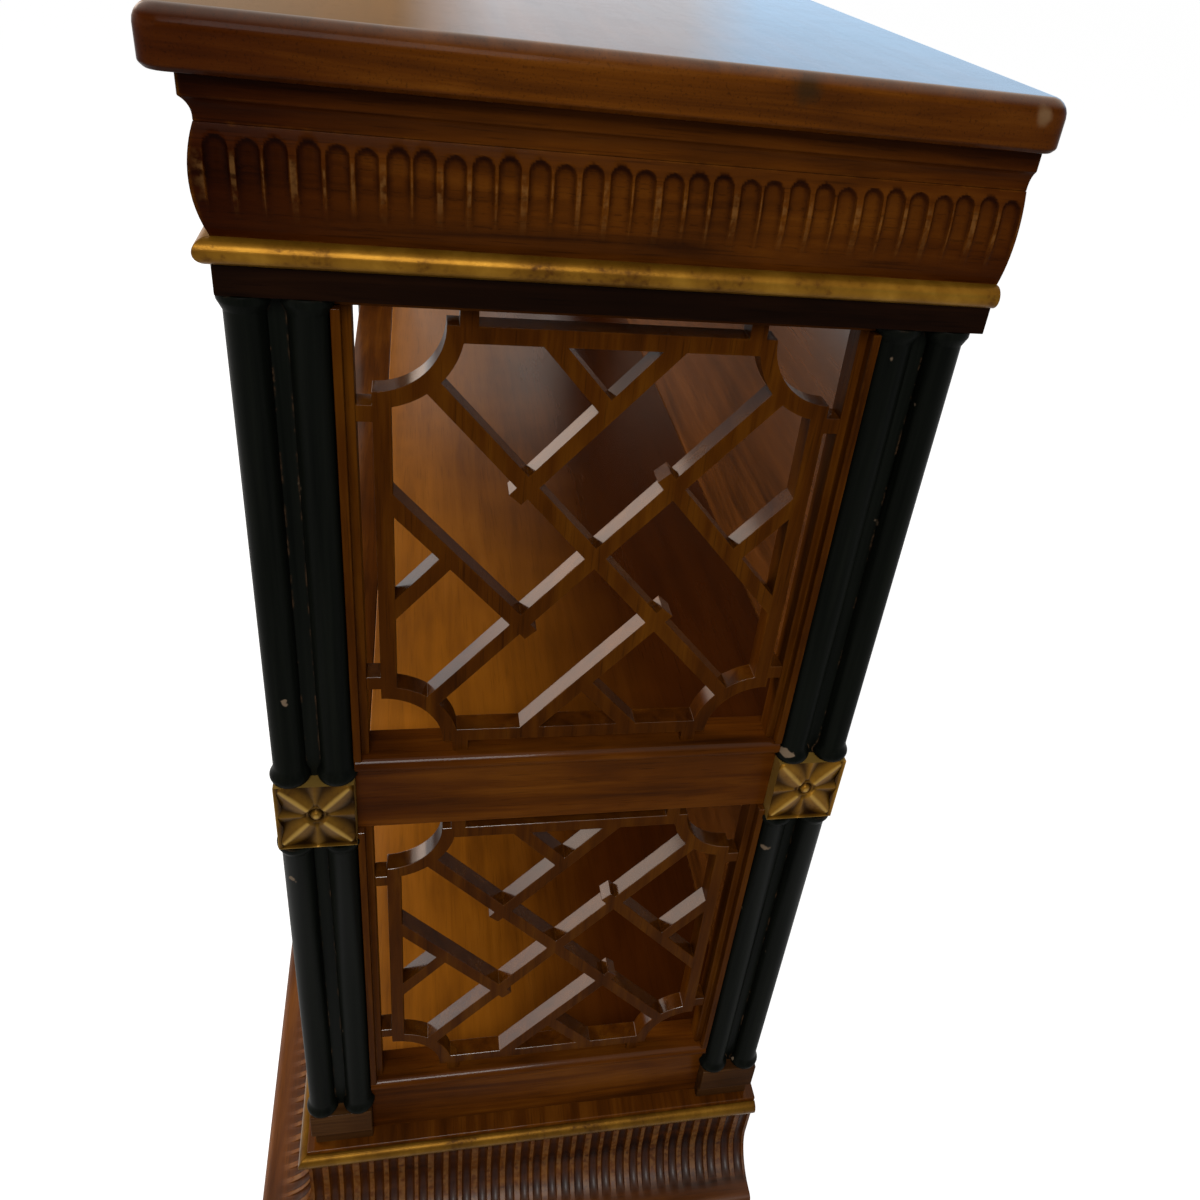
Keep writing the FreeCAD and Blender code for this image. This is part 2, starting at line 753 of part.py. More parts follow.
# The hollow starts upright, so its radius follows from its flare and its rise
cornice_reach = s.cornice_foot_reach + s.cornice_flare
hollow_radius = (s.cornice_flare * s.cornice_flare + s.cornice_rise * s.cornice_rise) / (s.cornice_flare * 2)
hollow_top = s.cornice_foot_height + s.cornice_rise
moulding("cornice", cornice_bottom, [
    (-s.core_inset, 0),
    (s.cornice_foot_reach, 0),
    (s.cornice_foot_reach, s.cornice_foot_height, -hollow_radius),
    (cornice_reach, hollow_top),
    (cornice_reach, hollow_top + s.cornice_edge),
    (-s.core_inset, hollow_top + s.cornice_edge),
])


# Slab with rounded corners and eased edges
def edges_where(shape, chosen):
    """Names of the edges that a test picks out."""
    return [f"Edge{number}" for number, edge in enumerate(shape.Edges, start=1) if chosen(edge)]


def eased(body, base, kind, prop, size, chosen):
    """Fillet or chamfer the chosen edges of a body's last feature."""
    doc.recompute()
    feature = body.newObject(f"PartDesign::{kind}", "eased")
    feature.Base = (base, edges_where(base.Shape, chosen))
    bind(feature, prop, size)
    return feature


def upright(edge):
    """Whether an edge stands upright."""
    return edge.BoundBox.ZLength > edge.Length / 2


def lies_at(level):
    """A test for the edges of the rim at one level of the slab."""
    return lambda edge: all(math.isclose(vertex.Z, level, abs_tol=1e-6) for vertex in edge.Vertexes)


slab_body = doc.addObject("PartDesign::Body", "slab")
slab_x = (-half_length - s.slab_overhang, half_length + s.slab_overhang)
slab_y = (-half_width - s.slab_overhang, flush_back + s.slab_back_overhang)
slab = pad(slab_body, outline_on(slab_body, "XY_Plane", [rectangle(slab_x, slab_y)]), s.slab_thickness)
slab = eased(slab_body, slab, "Fillet", "Radius", s.slab_corner_radius, upright)
slab = eased(slab_body, slab, "Fillet", "Radius", s.slab_top_radius, lies_at(s.slab_thickness.value))
slab = eased(slab_body, slab, "Chamfer", "Size", s.slab_foot_chamfer, lies_at(0))
place(slab_body, 0, 0, slab_bottom)
keep("top_slab", slab_body)

doc.recompute()
for piece in doc.Objects:
    if {"Invalid", "Error"} & set(piece.State):
        raise RuntimeError(f"{piece.Label} failed: {piece.State}")
for label, piece in nodes.items():
    if piece.Shape.isNull() or not piece.Shape.isValid():
        raise RuntimeError(f"{label} has no valid shape")

os.makedirs("parts", exist_ok=True)
for label, piece in nodes.items():
    piece.Shape.exportStep(f"parts/{label}.step")
print(f"{len(nodes)} pieces, overall height {slab_top.value} mm")
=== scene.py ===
import math

import bmesh
import bpy
import numpy as np
from mathutils import Matrix, Vector


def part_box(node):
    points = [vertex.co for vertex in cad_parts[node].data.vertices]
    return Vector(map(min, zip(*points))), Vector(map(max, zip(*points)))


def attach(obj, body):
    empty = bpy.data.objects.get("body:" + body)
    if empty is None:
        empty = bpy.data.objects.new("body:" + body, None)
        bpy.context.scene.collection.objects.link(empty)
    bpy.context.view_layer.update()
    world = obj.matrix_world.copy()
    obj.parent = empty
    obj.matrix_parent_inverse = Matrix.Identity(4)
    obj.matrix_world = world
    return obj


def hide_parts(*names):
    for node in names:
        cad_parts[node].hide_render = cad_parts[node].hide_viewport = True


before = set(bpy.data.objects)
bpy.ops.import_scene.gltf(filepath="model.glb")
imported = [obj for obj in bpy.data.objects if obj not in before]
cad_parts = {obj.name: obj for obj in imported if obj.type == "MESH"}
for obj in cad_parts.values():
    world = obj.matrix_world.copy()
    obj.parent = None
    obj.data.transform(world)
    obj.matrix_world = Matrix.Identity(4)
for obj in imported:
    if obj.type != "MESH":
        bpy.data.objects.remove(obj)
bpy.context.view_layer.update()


# The photographer's place: a phone held beside one end of the cabinet, just above the slab and looking down
# along its length, slightly tilted.
STANDING_AT = (1.12997, -0.08528, 1.11167)
camera_shape = bpy.data.cameras.new("photographer")
camera_shape.lens = 31.533
camera_shape.sensor_width = 36
camera_shape.shift_x = -0.05245
camera_shape.shift_y = -0.02585
to_the_right = Vector((0.18879897, 0.97452277, 0.1210798))
upwards = Vector((-0.55687766, 0.00469083, 0.83058128))
ahead = Vector((-0.80885241, 0.22423953, -0.54357559))
camera = bpy.data.objects.new("photographer", camera_shape)
bpy.context.scene.collection.objects.link(camera)
held = Matrix((to_the_right, upwards, -ahead)).transposed().to_4x4()
camera.matrix_world = Matrix.Translation(STANDING_AT) @ held
bpy.context.scene.camera = camera


# Plinth: four lengths of stained hardwood board on edge, butted together and glued up into the cove.
# They carry the cabinet and have the dark stain and thin polish of the carcass.
class Field:
    """A number, vector or colour that varies over a surface; an expression on it adds Math nodes."""

    def __init__(self, socket):
        self.socket = socket

    def node(self, kind, settings, values, output=0):
        """One more node of the tree: its settings first, then the values or links of its sockets."""
        tree = self.socket.id_data
        made = tree.nodes.new(kind)
        for name, value in settings.items():
            if name == "stops":
                ramp = made.color_ramp
                while len(ramp.elements) < len(value):
                    ramp.elements.new(1)
                for element, (place, colour) in zip(ramp.elements, value):
                    element.position = place
                    element.color = (*colour, 1)
            else:
                setattr(made, name, value)
        for name, value in values.items():
            if isinstance(value, Field):
                tree.links.new(value.socket, made.inputs[name])
            else:
                made.inputs[name].default_value = value
        return Field(made.outputs[output])

    def math(self, operation, first, second=0.0):
        return self.node("ShaderNodeMath", {"operation": operation}, {0: first, 1: second})

    def __add__(self, other):
        return self.math("ADD", self, other)

    def __sub__(self, other):
        return self.math("SUBTRACT", self, other)

    def __rsub__(self, other):
        return self.math("SUBTRACT", other, self)

    def __mul__(self, other):
        return self.math("MULTIPLY", self, other)

    def between(self, low, high):
        """Rises smoothly from 0 where the field is low to 1 where it is high."""
        return self.node("ShaderNodeMapRange", {"interpolation_type": "SMOOTHSTEP"},
                         {"Value": self, "From Min": low, "From Max": high})

    def part(self, axis):
        """One coordinate of a vector."""
        return self.node("ShaderNodeSeparateXYZ", {}, {0: self}, output=axis)

    def stretched(self, x, y, z, away=(0, 0, 0)):
        """The place scaled by a number for each axis, and moved, so that a pattern is drawn out."""
        return self.node("ShaderNodeMapping", {}, {"Vector": self, "Location": away, "Scale": (x, y, z)})

    def cloud(self, scale, detail=2.0, roughness=0.5, distortion=0.0):
        """Soft noise round 0.5 at the places that the field gives."""
        return self.node("ShaderNodeTexNoise", {},
                         {"Vector": self, "Scale": scale, "Detail": detail, "Roughness": roughness,
                          "Distortion": distortion})

    def ramp(self, *stops):
        """The colour that the stops give for the field's value."""
        return self.node("ShaderNodeValToRGB", {"stops": stops}, {0: self})

    def blended(self, other, share):
        """This colour, with another laid over it by the share."""
        return self.node("ShaderNodeMix", {"data_type": "RGBA"}, {0: share, 6: self, 7: other}, output=2)

    def shaded(self, colour, share):
        """This colour multiplied by another, by the share."""
        return self.node("ShaderNodeMix", {"data_type": "RGBA", "blend_type": "MULTIPLY"},
                         {0: share, 6: self, 7: colour}, output=2)

    def raised(self, strength, distance):
        """The normal of a surface whose height is the field times the distance."""
        return self.node("ShaderNodeBump", {}, {"Strength": strength, "Distance": distance, "Height": self})

    def facing(self, axis):
        """How far the face looks along an axis, from -1 to 1."""
        return self.node("ShaderNodeNewGeometry", {}, {}, output="Normal").part(axis)

    def worn(self, radius):
        """How near an arris is, from 0 on flat wood to 1: the angle between the face and its rounded self."""
        rounded = self.node("ShaderNodeBevel", {"samples": 4}, {"Radius": radius})
        face = self.node("ShaderNodeNewGeometry", {}, {}, output="Normal")
        agreeing = self.node("ShaderNodeVectorMath", {"operation": "DOT_PRODUCT"},
                             {0: rounded, 1: face}, output="Value")
        return (1 - agreeing).between(0.01, 0.12)

    def hollow(self):
        """The number that a carved mesh keeps at its points, which sets painted shade: 1 deep in a cut, 0 on flat
        wood, -1 on a rib, where it paints a highlight.
        """
        return self.node("ShaderNodeAttribute", {"attribute_name": "hollow"}, {}, output="Fac")


def finish_named(name, **constants):
    """A new material: its place on the object in metres, and its shader with the constant sockets set."""
    material = bpy.data.materials.new(name)
    material.use_nodes = True
    tree = material.node_tree
    shader = tree.nodes["Principled BSDF"]
    for socket, value in constants.items():
        shader.inputs[socket.replace("_", " ")].default_value = value
    place = Field(tree.nodes.new("ShaderNodeTexCoord").outputs["Object"])
    return material, shader, place


def lay_on(shader, values):
    """Links each field to the shader's socket of that name."""
    for name, field in values.items():
        shader.id_data.links.new(field.socket, shader.inputs[name])


# Noise cells in a metre, along the grain and across it.
STREAKS_ALONG, STREAKS_ACROSS = 5, 70
PORES_ALONG, PORES_ACROSS = 22, 900
STREAKS_ON_AN_END = (70, 5, 110)
IN_THE_PORES = (0.4, 0.4, 0.4, 1)
PAINTED_SHADE_IN_CUTS = (0.14, 0.07, 0.06, 1)
RUBBED_WIDTH = 0.0025


def stained_wood(name, grain, deep, middle, light, polish=0.35, coat=0.3, away=(0, 0, 0), figure=1.0,
                 walls=0.03, crossed=False, bright=1.45, blurred=0.1, painted_depth_shade=None, inner=False, knocks=()):
    """Hardwood under a dark stain and old polish.

    Noise drawn out along the grain picks the tone from deep to light, finer noise drawn out the same way makes
    the pores, and a broad cloud moves the stain up and down. The arrises are rubbed paler. Where a carving keeps
    a hollow number, its cuts get painted shade and the ribs between them a painted highlight.

    Polish is the wood's roughness. Coat, bright and blurred are the top coat's weight, index and roughness, and
    walls is how much of it lies on upright faces. The figure is how strongly the tone changes, and away moves
    the pattern. Where the ends are crossed, their grain runs across the length. A painted depth shade multiplies
    the colour by a tint, the more the further from a depth of the cabinet, from a near to a far distance: it is
    painted shade, not stain. An inner finish is polished only on the faces that look to the front. A knock is a
    place, a reach and a colour: there the polish is bruised to that colour."""
    material, shader, place = finish_named(name, Specular_IOR_Level=0.01, Coat_Roughness=blurred, Coat_IOR=bright)
    slow = [STREAKS_ALONG if axis == grain else STREAKS_ACROSS for axis in "xyz"]
    quick = [PORES_ALONG if axis == grain else PORES_ACROSS for axis in "xyz"]
    streaks = place.stretched(*slow, away).cloud(1, 5, 0.6, 0.6)
    if crossed:
        on_end = place.facing("X") * place.facing("X")
        across = place.stretched(*STREAKS_ON_AN_END, away).cloud(1, 5, 0.6, 0.6)
        streaks = streaks * (1 - on_end) + across * on_end
    pores = place.stretched(*quick, away).cloud(1, 3, 0.6)
    stain = place.cloud(7, 3, 0.55)
    tone = (streaks * 0.75 + stain * 0.55 - 0.65) * figure + 0.5
    colour = tone.ramp((0.25, deep), (0.5, middle), (0.78, light))
    colour = colour.shaded(IN_THE_PORES, pores.between(0.56, 0.68) * 0.6 * figure)
    # Painted shade: the colour darkens with distance from one depth of the cabinet.
    if painted_depth_shade:
        tint, middle_depth, near, far = painted_depth_shade
        depth = place.part("Y") - middle_depth
        distance = depth.math("ABSOLUTE", depth) + place.cloud(9, 3) * 0.08 - 0.04
        colour = colour.shaded((*tint, 1), distance.between(near, far))
    for centre, reach, bruise in knocks:
        distance = place.node("ShaderNodeVectorMath", {"operation": "DISTANCE"}, {0: place, 1: centre},
                              output="Value")
        ragged = distance + place.cloud(120, 3) * reach * 0.9
        colour = colour.blended((*bruise, 1), (1 - ragged.between(reach * 0.7, reach * 1.5)) * 0.75)
    rubbed = place.worn(RUBBED_WIDTH) * place.cloud(60, 4, 0.7).between(0.42, 0.68)
    colour = colour.blended((*light, 1), rubbed * 0.55)
    # Painted shade in the cuts of carved flutes, and a painted highlight on the ribs between them.
    hollow = place.hollow()
    colour = colour.shaded(PAINTED_SHADE_IN_CUTS, hollow.between(0, 1) * 0.9)
    rib_highlight = (0 - hollow) * place.cloud(190, 3, 0.6).between(0.3, 0.65)
    pale = (light[0] * 1.3, light[1] * 1.9, light[2] * 6, 1)
    colour = colour.blended(pale, rib_highlight.between(0, 1) * 0.4)
    matt = place.cloud(35, 4, 0.65) * 0.25 + place.stretched(*slow, away).cloud(2, 2) * 0.12
    lying = place.facing("Z").between(0.45, 0.8)
    coated = (lying * (1 - walls) + walls) * (1 - rubbed) * coat
    if inner:
        coated = coated * (0 - place.facing("Y")).between(0.2, 0.6)
    lay_on(shader, {"Base Color": colour, "Roughness": matt + (polish - 0.18), "Coat Weight": coated,
                    "Normal": (streaks * 0.3 + pores * 0.7).raised(0.12, 0.0004)})
    return material


CARCASE = {"deep": (0.016, 0.0042, 0.0008), "middle": (0.07, 0.0185, 0.0014), "light": (0.15, 0.047, 0.004)}
carcase = {grain: stained_wood("carcase_" + grain, grain, **CARCASE) for grain in "xy"}


def finished(piece, finish, slot, *stands_for):
    """Gives a piece its material, lets it ride with the cabinet, and hides the nodes it stands for. The slot is
    not used.
    """
    bpy.context.scene.collection.objects.link(piece)
    piece.data.materials.clear()
    piece.data.materials.append(finish)
    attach(piece, "root")
    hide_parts(*stands_for)


def smoothed(mesh, degrees):
    """Shades the mesh smooth, but for the edges that turn by more than that angle."""
    mesh.polygons.foreach_set("use_smooth", np.ones(len(mesh.polygons), bool))
    mesh.set_sharp_from_angle(angle=math.radians(degrees))


def eased(node, finish, slot, ease):
    """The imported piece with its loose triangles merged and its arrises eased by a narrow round."""
    shape = bmesh.new()
    shape.from_mesh(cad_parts[node].data)
    bmesh.ops.remove_doubles(shape, verts=shape.verts, dist=1e-5)
    bmesh.ops.dissolve_limit(shape, angle_limit=math.radians(1), verts=shape.verts, edges=shape.edges)
    mesh = bpy.data.meshes.new(node + "_eased")
    shape.to_mesh(mesh)
    shape.free()
    smoothed(mesh, 30)
    piece = bpy.data.objects.new(node + "_eased", mesh)
    round_over = piece.modifiers.new("eased", "BEVEL")
    round_over.width = ease
    round_over.segments = 2
    round_over.limit_method = "ANGLE"
    round_over.angle_limit = math.radians(35)
    round_over.harden_normals = True
    finished(piece, finish, slot, node)


eased("plinth", carcase["x"], "polished_wood", ease=0.0015)


# Base cove: three lengths of a large hollow moulding, mitred at the front corners and carved with upright flutes.
# Each flute is a round gouge cut that starts below the gilt bead and runs out on the flare above the nose.
FLUTE_PITCH = 0.0132
ACROSS_A_FLUTE = np.array([-1.12, -1.02, -0.97, -0.86, -0.64, -0.34, 0, 0.34, 0.64, 0.86, 0.97, 1.02, 1.12])
LINES_STRAY = 0.05
HEADS_STRAY = 0.0007
FREE_OF_THE_END = 0.0005
HEAD_SHADE_SHARE = 0.45
COVE_FLUTE_HALF = 0.0042
COVE_FLUTE_DEPTH = 0.003
BAND_UNDER_THE_BEAD = 0.007
HOLLOW_RADIUS = 0.038
HOLLOW_CENTRE_UP = 0.050
NOSE_RADIUS = 0.006
NOSE_CENTRE_OUT = 0.041
COVE_BACK_IN = 0.018
block_low, block_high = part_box("rosette_block_front_right")
cove_low, cove_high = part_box("base_cove_right")
posts_x = block_high.x
posts_front = block_low.y
posts_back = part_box("rosette_block_back_right")[1].y
posts_middle = (posts_front + posts_back) / 2
base_back = cove_high.y
base_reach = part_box("base_board")[1].x - posts_x


def grid_faces(rows, columns, loop):
    """Four-cornered faces between neighbours of a rows by columns grid, closed round the rows if loop."""
    here = np.arange(rows * columns).reshape(rows, columns)
    if loop:
        here = np.vstack([here, here[:1]])
    return np.stack([here[:-1, :-1], here[:-1, 1:], here[1:, 1:], here[1:, :-1]], -1).reshape(-1, 4)


def made_of(name, shells, finish, slot, stands_for, degrees, hollow=None, merged=0.0):
    """One mesh from closed shells of points and faces, its faces turned outwards. It keeps the hollow's number
    at each point, and points nearer than the merged distance become one."""
    points, faces, count = [], [], 0
    for shell_points, shell_faces in shells:
        points.append(np.asarray(shell_points).reshape(-1, 3))
        faces += [[index + count for index in face] for face in shell_faces]
        count += len(points[-1])
    mesh = bpy.data.meshes.new(name)
    mesh.from_pydata(np.vstack(points).tolist(), [], faces)
    if hollow is not None:
        kept = mesh.attributes.new("hollow", "FLOAT", "POINT").data
        kept.foreach_set("value", np.asarray(hollow, np.float32).ravel())
    shape = bmesh.new()
    shape.from_mesh(mesh)
    if merged:
        bmesh.ops.remove_doubles(shape, verts=shape.verts, dist=merged)
    bmesh.ops.recalc_face_normals(shape, faces=shape.faces)
    shape.to_mesh(mesh)
    shape.free()
    smoothed(mesh, degrees)
    finished(bpy.data.objects.new(name, mesh), finish, slot, *stands_for)


def arc(centre, radius, start, end, count):
    """Points at even angles, in degrees, on a circle: centre plus radius times cosine and sine."""
    angle = np.radians(np.linspace(start, end, count))
    return np.stack([centre[0] + radius * np.cos(angle), centre[1] + radius * np.sin(angle)], -1)


def gouged(down, ends, zone, half_width, run_out, wax):
    """For a moulding's face: where its points stand along the side, how far each is cut, and its hollow number,
    which sets painted shade and painted highlights.

    Down is how far along the section each row of points lies, and the ends are those of the side. Across a
    flute the cut is the root of 1 minus the square of the distance from its middle line over its half width.
    The line starts half a width inside the zone, so that the head is round, and the cut falls to nothing over
    the last share of the zone, so that the foot runs out. Lines and heads stray by a sine, as hand work does.
    Painted shade stands by its three shares along the walls, on the floor and in the head of each flute, and the
    ribs between the flutes have less than none, which paints a highlight on them."""
    first, last = zone[0] + half_width, zone[1] - half_width
    length = zone[1] - zone[0]
    count = round((ends[1] - ends[0]) / FLUTE_PITCH)
    flute = np.arange(count)
    lines = ends[0] + (flute + 0.5 + LINES_STRAY * np.sin(flute * 2.4)) * (ends[1] - ends[0]) / count
    shares = ACROSS_A_FLUTE * half_width
    along = (lines[:, None] + shares).ravel()
    heads = first + HEADS_STRAY * np.repeat(np.sin(flute * 1.7), len(shares))
    down = down[:, None]
    beyond = np.maximum(np.maximum(heads - down, down - last), 0)
    away = np.sqrt(np.tile(shares, count) ** 2 + beyond ** 2) / half_width
    left = np.clip((zone[1] - down) / length / run_out, 0, 1)
    cut = np.sqrt(np.clip(1 - away ** 2, 0, None)) * left
    in_zone = np.clip((down - first) / half_width, 0, 1)
    by_head = np.clip(1 - (down - zone[0]) / length / HEAD_SHADE_SHARE, 0, 1)
    walls = np.clip(1.2 - np.abs(away - 0.8) / 0.3, 0, 1)
    floor = np.sqrt(np.clip(1.1 - away ** 2, 0, 1))
    # Painted shade in the cuts, darkest by the walls and heads; the ribs get less than none, a painted highlight.
    waxed = np.maximum.reduce([wax[0] * walls, wax[1] * floor, wax[2] * by_head * (0.5 + 0.5 * walls)])
    hollow = np.where(away < 1.05, waxed * (0.1 + 0.9 * left), -0.9 * in_zone * left)
    return along, cut, hollow


def fluted(node, side, face, back, depth, finish, **carving):
    """A moulding with upright flutes along one side of the cabinet.

    The section's visible face, as outward reach and height, and its back are carried along the side from the
    mitre at the front corner to the other end. The face sinks along the section's normal by the depth times
    the cut."""
    slope = np.gradient(face, axis=0)
    slope /= np.linalg.norm(slope, axis=1)[:, None]
    normal = np.stack([-slope[:, 1], slope[:, 0]], -1) * -np.sign(slope[:, 1:].sum() or 1)
    down = np.r_[0, np.cumsum(np.linalg.norm(np.diff(face, axis=0), axis=1))]
    half = posts_x if side == "front" else (posts_back - posts_front) / 2
    first_end = -(half + face[:, 0].min() - FREE_OF_THE_END)
    last_end = -first_end if side == "front" else base_back - posts_middle - FREE_OF_THE_END
    along, cut, hollow = gouged(down, (first_end, last_end), **carving)
    plain_round_it = ((0, len(back)), (1, 1))
    cut, hollow = np.pad(cut, plain_round_it), np.pad(hollow, plain_round_it)
    section = np.vstack([face, back])
    inwards = np.vstack([normal, np.zeros_like(back)])
    out = section[:, :1] - depth * cut * inwards[:, :1]
    up = section[:, 1:] - depth * cut * inwards[:, 1:]
    mitre = -(half + section[:, 0])
    end = -mitre if side == "front" else np.full(len(section), base_back - posts_middle)
    run = np.hstack([mitre[:, None], np.tile(along, (len(section), 1)), end[:, None]])
    if side == "front":
        points = np.stack([run, posts_front - out, up], -1)
    else:
        sign = 1 if side == "right" else -1
        points = np.stack([sign * (posts_x + out), posts_middle + run, up], -1)
    rows, columns = run.shape
    faces = grid_faces(rows, columns, True).tolist()
    ring = np.arange(rows) * columns
    faces += [ring.tolist(), (ring + columns - 1).tolist()]
    made_of(node + "_fluted", [(points, faces)], finish, "polished_wood", [node], 50, hollow)


cove_foot, cove_head = cove_low.z, cove_high.z
band_foot = cove_head - BAND_UNDER_THE_BEAD
cove_face = np.vstack([
    [[0, cove_head], [0, band_foot]],
    [[0, band_foot - drop] for drop in (0.0008, 0.0025, 0.005, 0.012, 0.020, 0.028)],
    arc((HOLLOW_RADIUS, cove_foot + HOLLOW_CENTRE_UP), HOLLOW_RADIUS, 180, 270, 16),
    [[NOSE_CENTRE_OUT - 0.0015, cove_foot + 2 * NOSE_RADIUS]],
    arc((NOSE_CENTRE_OUT, cove_foot + NOSE_RADIUS), NOSE_RADIUS, 90, -90, 11),
]) + [base_reach, 0]
cove_back = np.array([[base_reach + 0.009, cove_foot], [-COVE_BACK_IN, cove_foot + 0.045],
                      [-COVE_BACK_IN, cove_head]])
cove_wood = {grain: stained_wood("cove_" + grain, grain, **CARCASE, coat=0.6, walls=0.4, blurred=0.4)
             for grain in "xy"}
grain_along = {"front": "x", "left": "y", "right": "y"}
# The cove's grooves get painted shade, most on their floors, and its ribs a painted highlight.
for side, grain in grain_along.items():
    fluted("base_cove_" + side, side, cove_face, cove_back, COVE_FLUTE_DEPTH, cove_wood[grain],
           half_width=COVE_FLUTE_HALF, zone=(0.004, 0.092), run_out=0.15, wax=(0.4, 0.8, 0))


# Base bead: a half-round moulding planted on the edge of the base board and gilt with leaf over a dark red-brown
# ground. The leaf is toned down and has worn through in patches.
LEAF_TONES = ((0.3, (0.12, 0.05, 0.004)), (0.55, (0.21, 0.096, 0.008)), (0.75, (0.33, 0.165, 0.018)))
BARE_GROUND = (0.45, 0.33, 0.2, 1)
PAINTED_SHADE_IN_GILT = (0.1, 0.075, 0.05, 1)
PAINTED_CREST_HIGHLIGHT = (0.42, 0.26, 0.06, 1)


def toned_gilt(name, away=(0, 0, 0), tone=0.75, crest_highlight=0.0):
    """Old leaf over a brown ground. A fine and a broad noise choose between bright, toned and bare places,
    bare wood is neither metallic nor smooth, and the hollows get painted shade. The tone darkens the whole, and
    the crests of a carving get a painted highlight by their own share."""
    material, shader, place = finish_named(name, Specular_IOR_Level=0.05)
    broad = place.stretched(1, 1, 1, away).cloud(28, 4, 0.6)
    fine = place.stretched(1, 1, 1, away).cloud(260, 4, 0.65)
    leaf = (broad * 0.55 + fine * 0.6).between(0.32, 0.56)
    hollow = place.hollow()
    colour = broad.ramp(*LEAF_TONES).shaded(BARE_GROUND, 1 - leaf).shaded((tone, tone, tone, 1), 1.0)
    # Painted shade in the carved cuts, and a painted highlight on the crests.
    colour = colour.shaded(PAINTED_SHADE_IN_GILT, hollow.between(0.2, 0.85) * 0.9)
    colour = colour.blended(PAINTED_CREST_HIGHLIGHT, (1 - hollow).between(0.82, 1.0) * crest_highlight)
    lay_on(shader, {"Base Color": colour, "Metallic": leaf * 0.45 + 0.05,
                    "Roughness": 0.5 - leaf * 0.16 + hollow * 0.2, "Normal": fine.raised(0.25, 0.0005)})
    return material


dull_gilt = toned_gilt("base_bead_gilt", away=(1, 2, 0), tone=0.5)
for side in grain_along:
    eased("base_bead_" + side, dull_gilt, "gilt", ease=0.0004)


# Base board: one flat board whose edge makes the ledge under the columns, laid on the cove and plinth.
# It has the carcass's dark stain.
eased("base_board", carcase["x"], "polished_wood", ease=0.0012)


# Plinth blocks: square foot blocks glued on the ledge, with a shallow rebate round the foot.
# The columns' tenons stand in them. Their dark stain is rubbed brown.
block_wood = stained_wood("foot_block_wood", "y", (0.014, 0.005, 0.0015), (0.04, 0.015, 0.004),
                          (0.1, 0.045, 0.014), polish=0.5, coat=0.15)
corners = [front + "_" + hand for front in ("front", "back") for hand in ("left", "right")]
for corner in corners:
    eased("plinth_block_" + corner, block_wood, "polished_wood", ease=0.0012)


# Corner columns: each is four turned shafts standing round a square core, cut from one stick and ebonised.
# A bell is turned at the foot of every shaft and a ring at its head, and the black has worn brown on the edges.
SHAFT_RADIUS = 0.0105
SHAFT_STEPS = 40
# Millimetres that the turning stands out from the shaft, and its distance from the column's end.
FOOT_BELL = ((0.9, 0), (1.9, 1.2), (2.6, 3), (2.8, 4.6), (2.6, 6), (1.9, 7.6), (1, 9.4), (0.4, 11.2), (0, 13))
HEAD_RING = ((0, 9.6), (0.5, 8.8), (1.6, 6.4), (2.5, 4.6), (2.8, 3.8), (2.8, 0.8), (2.4, 0))
BLACKS = ((0.3, (0.0012, 0.0016, 0.0011)), (0.7, (0.0045, 0.0052, 0.0038)))
WORN_TO_WOOD = (0.085, 0.045, 0.022, 1)
CHIPPED = (0.2, 0.14, 0.09, 1)


def ebonised(name):
    """Black stain under a thin polish. Noise drawn out upwards gives the brush's streaks, arrises and a few
    knocks show the brown wood, and the sheen varies with the streaks."""
    material, shader, place = finish_named(name, Specular_IOR_Level=0.015)
    streaks = place.stretched(160, 160, 6).cloud(1, 4, 0.6)
    knocks = place.cloud(70, 5, 0.7)
    bare = place.worn(0.002) * knocks.between(0.5, 0.66)
    chips = place.cloud(48, 3, 0.5).between(0.72, 0.75)
    colour = streaks.ramp(*BLACKS).blended(WORN_TO_WOOD, bare * 0.6).blended(CHIPPED, chips * 0.7)
    lay_on(shader, {"Base Color": colour, "Roughness": streaks * 0.2 + 0.3 + bare * 0.2,
                    "Normal": (streaks + knocks * 0.5).raised(0.1, 0.0006)})
    return material


def turned(centre, profile):
    """A round solid: the profile's radius and height carried round an upright axis, with flat ends."""
    angle = np.linspace(0, 2 * np.pi, SHAFT_STEPS, endpoint=False)
    radius, height = profile.T
    points = np.stack([centre[0] + radius * np.cos(angle)[:, None],
                       centre[1] + radius * np.sin(angle)[:, None],
                       np.broadcast_to(height, (SHAFT_STEPS, len(height)))], -1)
    faces = grid_faces(SHAFT_STEPS, len(height), True).tolist()
    ends = np.arange(SHAFT_STEPS) * len(height)
    return points, faces + [ends.tolist(), (ends + len(height) - 1).tolist()]


def squared(low, high, ease=0.0006):
    """A block between two corners, its upright arrises cut off by the ease."""
    (x0, y0, z0), (x1, y1, z1) = low, high
    outline = np.array([(x0 + ease, y0), (x1 - ease, y0), (x1, y0 + ease), (x1, y1 - ease),
                        (x1 - ease, y1), (x0 + ease, y1), (x0, y1 - ease), (x0, y0 + ease)])
    points = np.stack([np.column_stack([outline, np.full(8, z)]) for z in (z0, z1)], 1)
    faces = grid_faces(8, 2, True).tolist()
    return points, faces + [(np.arange(8) * 2).tolist(), (np.arange(8) * 2 + 1).tolist()]


